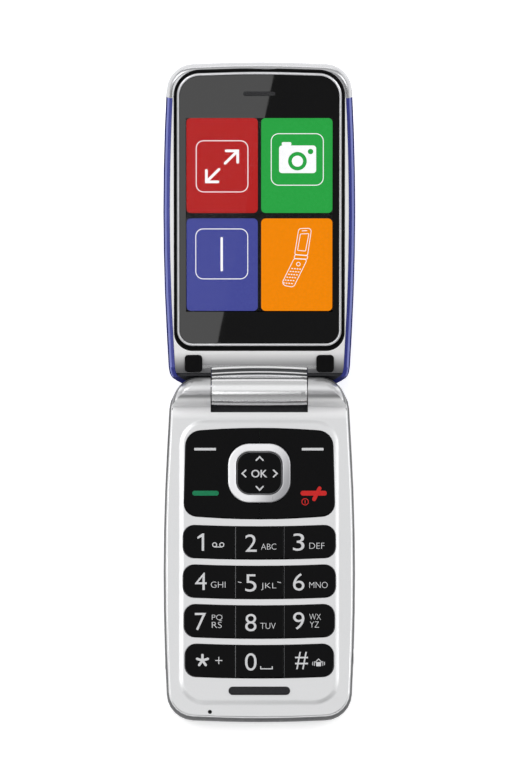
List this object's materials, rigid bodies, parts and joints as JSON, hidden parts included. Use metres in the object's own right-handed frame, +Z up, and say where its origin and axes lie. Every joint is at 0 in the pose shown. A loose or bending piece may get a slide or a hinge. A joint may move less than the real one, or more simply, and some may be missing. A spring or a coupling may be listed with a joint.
{
  "type": "flip phone",
  "caption": "Clamshell mobile phone with large number keys, four-way pad, colour display and a sliding battery cover.",
  "frame": {"origin": "middle of the flat back face, on the battery cover", "axes": "+X across the keys to the right, +Y from the chin towards the lid, +Z up out of the keypad"},
  "size_m": [0.0564, 0.1903, 0.0453],
  "materials": {
    "silver_paint": "fine metallic lacquer on plastic",
    "blue_paint": "glossy blue lacquer on plastic",
    "satin_metal": "satin silver",
    "bright_trim": "bright trim",
    "window_black": "glossy acrylic with a black printed border",
    "display": "lit display",
    "steel": "stamped steel",
    "battery_wrap": "plain wrap",
    "gold_plate": "gold plated",
    "dome_metal": "spring metal domes",
    "board_green": "solder mask",
    "silicone": "translucent grey silicone",
    "rubber_grey": "dark grey rubber",
    "rubber_black": "black rubber",
    "dark_plastic": "dark moulded plastic",
    "flex_film": "polyimide film",
    "mesh_metal": "dark metal mesh",
    "lens_black": "lens cover",
    "led_diffuser": "milky diffuser",
    "key_black": "black glossy keycap"
  },
  "bodies": {
    "base": {"base_front_cover": "silver_paint", "base_rear_housing": "silver_paint", "battery": "battery_wrap", "battery_contacts": "gold_plate", "sim_holder": "steel", "main_board": "board_green", "key_domes": "dome_metal", "keypad_mat": "silicone", "nav_ring": "satin_metal", "chin_pad": "rubber_grey", "loudspeaker": "dark_plastic", "microphone": "gold_plate", "vibration_motor": "steel", "usb_port": "steel", "headset_jack": "dark_plastic", "case_screws": "steel", "hinge_shaft": "steel", "hinge_cam": "steel", "hinge_bush": "steel", "base_flex_cable": "flex_film"},
    "lid": {"lid_front_bezel": "silver_paint", "lid_rear_cover": "blue_paint", "lid_top_cap": "silver_paint", "display_window": "window_black", "window_ring": "bright_trim", "display_panel": "display", "display_frame": "steel", "earpiece": "dark_plastic", "earpiece_mesh": "mesh_metal", "rubber_bumpers": "rubber_black", "lid_board": "board_green", "camera_module": "dark_plastic", "camera_lens": "lens_black", "led_bar": "led_diffuser", "lid_screws": "steel", "hinge_module": "steel", "hinge_spring": "steel", "lid_flex_cable": "flex_film"},
    "battery_cover": {"battery_cover": "silver_paint"},
    "key_1": {"key_1": "key_black"},
    "key_2": {"key_2": "key_black"},
    "key_3": {"key_3": "key_black"},
    "key_4": {"key_4": "key_black"},
    "key_5": {"key_5": "key_black"},
    "key_6": {"key_6": "key_black"},
    "key_7": {"key_7": "key_black"},
    "key_8": {"key_8": "key_black"},
    "key_9": {"key_9": "key_black"},
    "key_star": {"key_star": "key_black"},
    "key_0": {"key_0": "key_black"},
    "key_hash": {"key_hash": "key_black"},
    "left_key_plate": {"left_key_plate": "key_black"},
    "right_key_plate": {"right_key_plate": "key_black"},
    "nav_pad": {"nav_pad": "key_black"},
    "nav_carrier": {"nav_carrier": "silicone"},
    "nav_plunger": {"nav_plunger": "silicone"}
  },
  "joints": [
    {"name": "lid_hinge", "type": "hinge", "parent": "base", "child": "lid", "pos_m": [0, 0.0488, 0.0114], "axis": [1, 0, 0], "range_deg": [0, 160]},
    {"name": "battery_cover_slide", "type": "slide", "parent": "base", "child": "battery_cover", "axis": [0, -1, 0], "range_m": [0, 0.085]},
    {"name": "key_1_press", "type": "slide", "parent": "base", "child": "key_1", "axis": [0, 0, -1], "range_m": [0, 0.0003], "stiffness_N_per_m": 2000},
    {"name": "key_2_press", "type": "slide", "parent": "base", "child": "key_2", "axis": [0, 0, -1], "range_m": [0, 0.0003], "stiffness_N_per_m": 2000},
    {"name": "key_3_press", "type": "slide", "parent": "base", "child": "key_3", "axis": [0, 0, -1], "range_m": [0, 0.0003], "stiffness_N_per_m": 2000},
    {"name": "key_4_press", "type": "slide", "parent": "base", "child": "key_4", "axis": [0, 0, -1], "range_m": [0, 0.0003], "stiffness_N_per_m": 2000},
    {"name": "key_5_press", "type": "slide", "parent": "base", "child": "key_5", "axis": [0, 0, -1], "range_m": [0, 0.0003], "stiffness_N_per_m": 2000},
    {"name": "key_6_press", "type": "slide", "parent": "base", "child": "key_6", "axis": [0, 0, -1], "range_m": [0, 0.0003], "stiffness_N_per_m": 2000},
    {"name": "key_7_press", "type": "slide", "parent": "base", "child": "key_7", "axis": [0, 0, -1], "range_m": [0, 0.0003], "stiffness_N_per_m": 2000},
    {"name": "key_8_press", "type": "slide", "parent": "base", "child": "key_8", "axis": [0, 0, -1], "range_m": [0, 0.0003], "stiffness_N_per_m": 2000},
    {"name": "key_9_press", "type": "slide", "parent": "base", "child": "key_9", "axis": [0, 0, -1], "range_m": [0, 0.0003], "stiffness_N_per_m": 2000},
    {"name": "key_star_press", "type": "slide", "parent": "base", "child": "key_star", "axis": [0, 0, -1], "range_m": [0, 0.0003], "stiffness_N_per_m": 2000},
    {"name": "key_0_press", "type": "slide", "parent": "base", "child": "key_0", "axis": [0, 0, -1], "range_m": [0, 0.0003], "stiffness_N_per_m": 2000},
    {"name": "key_hash_press", "type": "slide", "parent": "base", "child": "key_hash", "axis": [0, 0, -1], "range_m": [0, 0.0003], "stiffness_N_per_m": 2000},
    {"name": "left_plate_rock", "type": "hinge", "parent": "base", "child": "left_key_plate", "pos_m": [0, 0.02453, 0.008], "axis": [1, 0, 0], "range_deg": [-1.5, 1.5], "stiffness_Nm_per_rad": 0.5},
    {"name": "right_plate_rock", "type": "hinge", "parent": "base", "child": "right_key_plate", "pos_m": [0, 0.02453, 0.008], "axis": [1, 0, 0], "range_deg": [-1.5, 1.5], "stiffness_Nm_per_rad": 0.5},
    {"name": "ok_press", "type": "slide", "parent": "base", "child": "nav_plunger", "axis": [0, 0, -1], "range_m": [0, 0.0003], "stiffness_N_per_m": 2000},
    {"name": "pad_left_right", "type": "hinge", "parent": "nav_plunger", "child": "nav_carrier", "pos_m": [0, 0.02453, 0.0085], "axis": [0, 1, 0], "range_deg": [-2, 2], "stiffness_Nm_per_rad": 0.2},
    {"name": "pad_up_down", "type": "hinge", "parent": "nav_carrier", "child": "nav_pad", "pos_m": [0, 0.02453, 0.0085], "axis": [1, 0, 0], "range_deg": [-2, 2], "stiffness_Nm_per_rad": 0.2}
  ]
}
